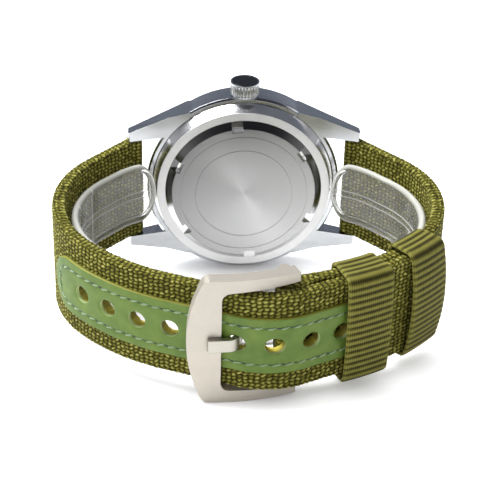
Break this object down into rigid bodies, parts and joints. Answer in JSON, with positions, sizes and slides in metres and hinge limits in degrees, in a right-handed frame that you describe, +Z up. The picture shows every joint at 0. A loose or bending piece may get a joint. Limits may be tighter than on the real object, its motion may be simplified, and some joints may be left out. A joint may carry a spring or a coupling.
{
  "type": "wristwatch",
  "caption": "Field watch with a screwed case back, woven strap with a leather strip, pin buckle, webbing keepers and a clear display cuff inside the loop.",
  "frame": {"origin": "centre of the case back's raised disc", "axes": "+X across the case towards the twelve o'clock lugs, +Z up from the table that the watch lies on, so the case axis leans 7 degrees above +Y, towards the dial"},
  "size_m": [0.075, 0.0681, 0.0432],
  "materials": {
    "case_steel": "fine satin",
    "back_steel": "sunburst brushing, polished cone",
    "crown_inlay": "black enamel",
    "crystal_glass": "polished",
    "seal_rubber": "matte",
    "dial_paint": "matte",
    "marker_paint": "matte",
    "hand_metal": "polished",
    "gilt_brass": "polished",
    "movement_plastic": "matte",
    "board_laminate": "lacquered",
    "coil_wire": "enamelled copper",
    "battery_steel": "polished",
    "fitting_steel": "satin",
    "canvas": "coarse basket weave",
    "webbing": "ribbed weave",
    "strip_leather": "smooth, stitched",
    "buckle_metal": "bead blasted",
    "tongue_metal": "satin",
    "clear_plastic": "clear, polished"
  },
  "bodies": {
    "case": {"case_middle": "case_steel", "bezel": "case_steel", "crystal": "crystal_glass", "crystal_gasket": "seal_rubber", "dial": "dial_paint", "chapter_ring": "dial_paint", "hour_markers": "marker_paint", "movement_body": "movement_plastic", "battery": "battery_steel", "coil": "coil_wire", "circuit_board": "board_laminate", "battery_clip": "fitting_steel", "clip_screws": "fitting_steel", "movement_holder": "movement_plastic", "crown_tube": "fitting_steel", "hole_strap": "canvas", "leather_strip": "strip_leather", "buckle_strap": "canvas", "fixed_keeper": "webbing", "six_side_bar_barrel": "fitting_steel", "six_side_bar_fixed_tip": "fitting_steel", "six_side_bar_spring": "fitting_steel", "twelve_side_bar_barrel": "fitting_steel", "twelve_side_bar_fixed_tip": "fitting_steel", "twelve_side_bar_spring": "fitting_steel", "buckle_bar_barrel": "fitting_steel", "buckle_bar_fixed_tip": "fitting_steel", "buckle_bar_spring": "fitting_steel"},
    "case_back_seal": {"case_back_gasket": "seal_rubber"},
    "case_back": {"case_back": "back_steel"},
    "crown_seal": {"crown_gasket": "seal_rubber"},
    "crown": {"crown": "case_steel", "crown_cap": "crown_inlay", "stem": "fitting_steel"},
    "minute_hand": {"minute_hand": "hand_metal", "cannon_pinion": "gilt_brass"},
    "hour_hand": {"hour_hand": "hand_metal", "hour_wheel_pipe": "gilt_brass"},
    "seconds_hand": {"seconds_hand": "hand_metal", "seconds_arbor": "gilt_brass"},
    "buckle_frame": {"buckle_frame": "buckle_metal"},
    "buckle_tongue": {"buckle_tongue": "tongue_metal"},
    "sliding_keeper": {"sliding_keeper": "webbing"},
    "display_cuff": {"display_cuff": "clear_plastic"},
    "six_side_bar_sliding_tip": {"six_side_bar_sliding_tip": "fitting_steel"},
    "twelve_side_bar_sliding_tip": {"twelve_side_bar_sliding_tip": "fitting_steel"},
    "buckle_bar_sliding_tip": {"buckle_bar_sliding_tip": "fitting_steel"}
  },
  "joints": [
    {"name": "case_back_lift", "type": "slide", "parent": "case", "child": "case_back_seal", "axis": [0, -0.9927, -0.1209], "range_m": [0, 0.001]},
    {"name": "case_back_turn", "type": "hinge", "parent": "case_back_seal", "child": "case_back", "pos_m": [0, 0, 0], "axis": [0, -0.9927, -0.1209], "range_deg": [-720, 0]},
    {"name": "crown_pull", "type": "slide", "parent": "case", "child": "crown_seal", "axis": [0, -0.1209, 0.9927], "range_m": [0, 0.001]},
    {"name": "crown_turn", "type": "hinge", "parent": "crown_seal", "child": "crown", "pos_m": [0, 0.00306, 0.02077], "axis": [0, -0.1209, 0.9927], "continuous": true},
    {"name": "minute_hand_turn", "type": "hinge", "parent": "case", "child": "minute_hand", "pos_m": [0, 0, 0], "axis": [0, -0.9927, -0.1209], "continuous": true},
    {"name": "hour_hand_turn", "type": "hinge", "parent": "case", "child": "hour_hand", "pos_m": [0, 0, 0], "axis": [0, -0.9927, -0.1209], "continuous": true},
    {"name": "seconds_hand_turn", "type": "hinge", "parent": "case", "child": "seconds_hand", "pos_m": [0, 0, 0], "axis": [0, -0.9927, -0.1209], "continuous": true},
    {"name": "buckle_frame_swing", "type": "hinge", "parent": "case", "child": "buckle_frame", "pos_m": [0.0046, -0.04874, -0.00594], "axis": [0, -0.1209, 0.9927], "range_deg": [0, 2.5]},
    {"name": "buckle_tongue_swing", "type": "hinge", "parent": "buckle_frame", "child": "buckle_tongue", "pos_m": [0.0046, -0.04874, -0.00594], "axis": [0, -0.1209, 0.9927], "range_deg": [0, 2.5]},
    {"name": "sliding_keeper_slide", "type": "hinge", "parent": "case", "child": "sliding_keeper", "pos_m": [0, -0.00678, -0.00083], "axis": [0, 0.1209, -0.9927], "range_deg": [0, 6.2]},
    {"name": "display_cuff_lift", "type": "slide", "parent": "case", "child": "display_cuff", "axis": [0, -0.1209, 0.9927], "range_m": [0, 0.03]},
    {"name": "six_side_bar_tip_press", "type": "slide", "parent": "case", "child": "six_side_bar_sliding_tip", "axis": [0, 0.1209, -0.9927], "range_m": [0, 0.0011], "stiffness_N_per_m": 200, "springref_m": -0.001, "deforming": ["six_side_bar_spring"]},
    {"name": "twelve_side_bar_tip_press", "type": "slide", "parent": "case", "child": "twelve_side_bar_sliding_tip", "axis": [0, 0.1209, -0.9927], "range_m": [0, 0.0011], "stiffness_N_per_m": 200, "springref_m": -0.001, "deforming": ["twelve_side_bar_spring"]},
    {"name": "buckle_bar_tip_press", "type": "slide", "parent": "case", "child": "buckle_bar_sliding_tip", "axis": [0, 0.1209, -0.9927], "range_m": [0, 0.0011], "stiffness_N_per_m": 200, "springref_m": -0.001, "deforming": ["buckle_bar_spring"]}
  ],
  "couplings": [
    {"joint": "case_back_turn", "follows": "case_back_lift", "rad_per_m": -12566},
    {"joint": "minute_hand_turn", "follows": "seconds_hand_turn", "ratio": 0.016667},
    {"joint": "hour_hand_turn", "follows": "seconds_hand_turn", "ratio": 0.0013889}
  ]
}
